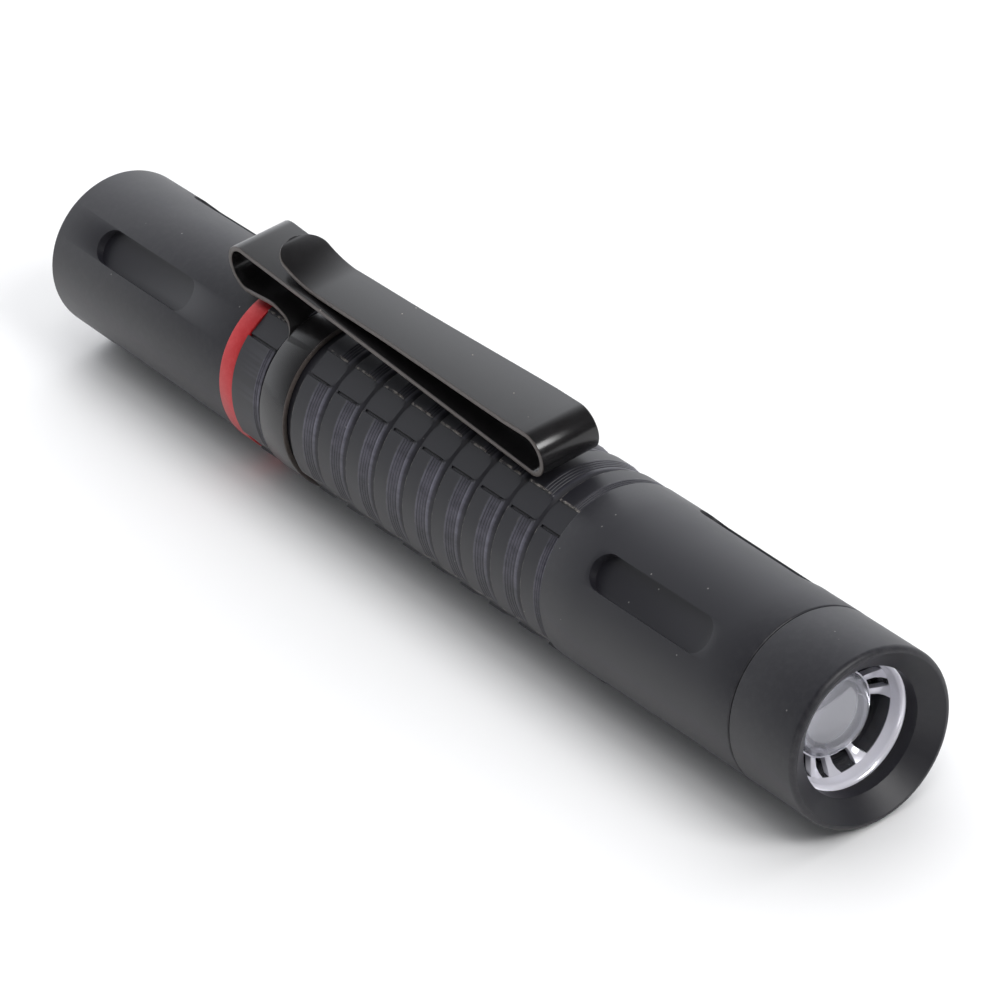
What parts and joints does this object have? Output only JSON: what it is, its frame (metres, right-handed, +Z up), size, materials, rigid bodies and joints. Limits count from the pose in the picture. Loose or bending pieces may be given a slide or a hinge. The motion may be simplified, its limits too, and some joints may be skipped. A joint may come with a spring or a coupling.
{
  "type": "counterfeit detector pen",
  "caption": "Ultraviolet pen torch for checking banknotes, with a rear push button, screw-off tail cap, red accent ring, ribbed barrel, swivelling two-way pocket clip and clear lens",
  "frame": {"origin": "on the surface the pen lies on, under the middle of its length from the button's crown to the bezel's rim", "axes": "+X along the pen towards the lens, +Z up through the pocket clip, +Y to the left when looking along +X"},
  "size_m": [0.0996, 0.0144, 0.0201],
  "materials": {
    "body_anodised": "matte near-black anodised",
    "ring_anodised": "satin red anodised",
    "clip_steel": "satin black oxide on spring steel, brushed bright at the sheared edges",
    "button_rubber": "matte",
    "switch_plastic": "matte moulded",
    "plunger_plastic": "matte moulded",
    "contact_brass": "stamped, satin",
    "board_laminate": "green solder mask",
    "spring_steel": "nickel plated wire",
    "spring_gold": "gold plated wire",
    "cell_wrap": "printed foil over the can, satin",
    "cell_steel": "nickel plated, satin",
    "insulator_paper": "matte",
    "component_grey": "matte moulded",
    "board_white": "white solder mask",
    "led_package": "ceramic package with a clear dome",
    "wire_red": "silicone insulation",
    "wire_black": "silicone insulation",
    "spacer_plastic": "matte moulded",
    "lens_acrylic": "clear moulded, polished",
    "seal_rubber": "matte"
  },
  "bodies": {
    "barrel": {"barrel": "body_anodised", "head": "body_anodised", "bezel": "body_anodised", "lens": "lens_acrylic", "lens_seal": "seal_rubber", "lens_spacer": "spacer_plastic", "led_board": "board_white", "led_emitter": "led_package", "pill": "contact_brass", "driver_board": "board_laminate", "driver_parts": "component_grey", "driver_spring": "spring_gold", "lead_wire_red": "wire_red", "lead_wire_black": "wire_black", "tail_o_ring": "seal_rubber", "cell_can": "cell_wrap", "cell_insulator": "insulator_paper", "cell_cap": "cell_steel"},
    "ring": {"accent_ring": "ring_anodised"},
    "tail": {"tail_cap": "body_anodised", "switch_housing": "switch_plastic", "switch_spring": "spring_steel", "switch_contact": "contact_brass", "switch_board": "board_laminate", "switch_retainer": "contact_brass", "tail_spring": "spring_steel"},
    "button": {"tail_button": "button_rubber", "switch_plunger": "plunger_plastic"},
    "clip_band": {"clip_band": "clip_steel"},
    "clip_arm": {"clip_arm": "clip_steel"},
    "clip_tongue": {"clip_tongue": "clip_steel"}
  },
  "joints": [
    {"name": "tail_turn", "type": "hinge", "parent": "barrel", "child": "ring", "pos_m": [0, 0, 0.00717], "axis": [-1, 0, 0], "range_deg": [0, 1800.5]},
    {"name": "tail_advance", "type": "slide", "parent": "ring", "child": "tail", "axis": [-1, 0, 0], "range_m": [0, 0.004]},
    {"name": "button_press", "type": "slide", "parent": "tail", "child": "button", "axis": [1, 0, 0], "range_m": [0, 0.0014], "stiffness_N_per_m": 600, "springref_m": -0.001, "deforming": ["switch_spring"]},
    {"name": "clip_swivel", "type": "hinge", "parent": "barrel", "child": "clip_band", "pos_m": [0, 0, 0.00717], "axis": [1, 0, 0], "continuous": true},
    {"name": "clip_lift", "type": "hinge", "parent": "clip_band", "child": "clip_arm", "pos_m": [-0.02346, 0, 0.01652], "axis": [0, -1, 0], "range_deg": [0, 3], "stiffness_Nm_per_rad": 0.5, "springref_deg": -5.73},
    {"name": "tongue_lift", "type": "hinge", "parent": "clip_arm", "child": "clip_tongue", "pos_m": [0.01465, 0, 0.01652], "axis": [0, 1, 0], "range_deg": [0, 3], "stiffness_Nm_per_rad": 0.5, "springref_deg": -5.73}
  ],
  "couplings": [
    {"joint": "tail_turn", "follows": "tail_advance", "rad_per_m": 7854}
  ]
}
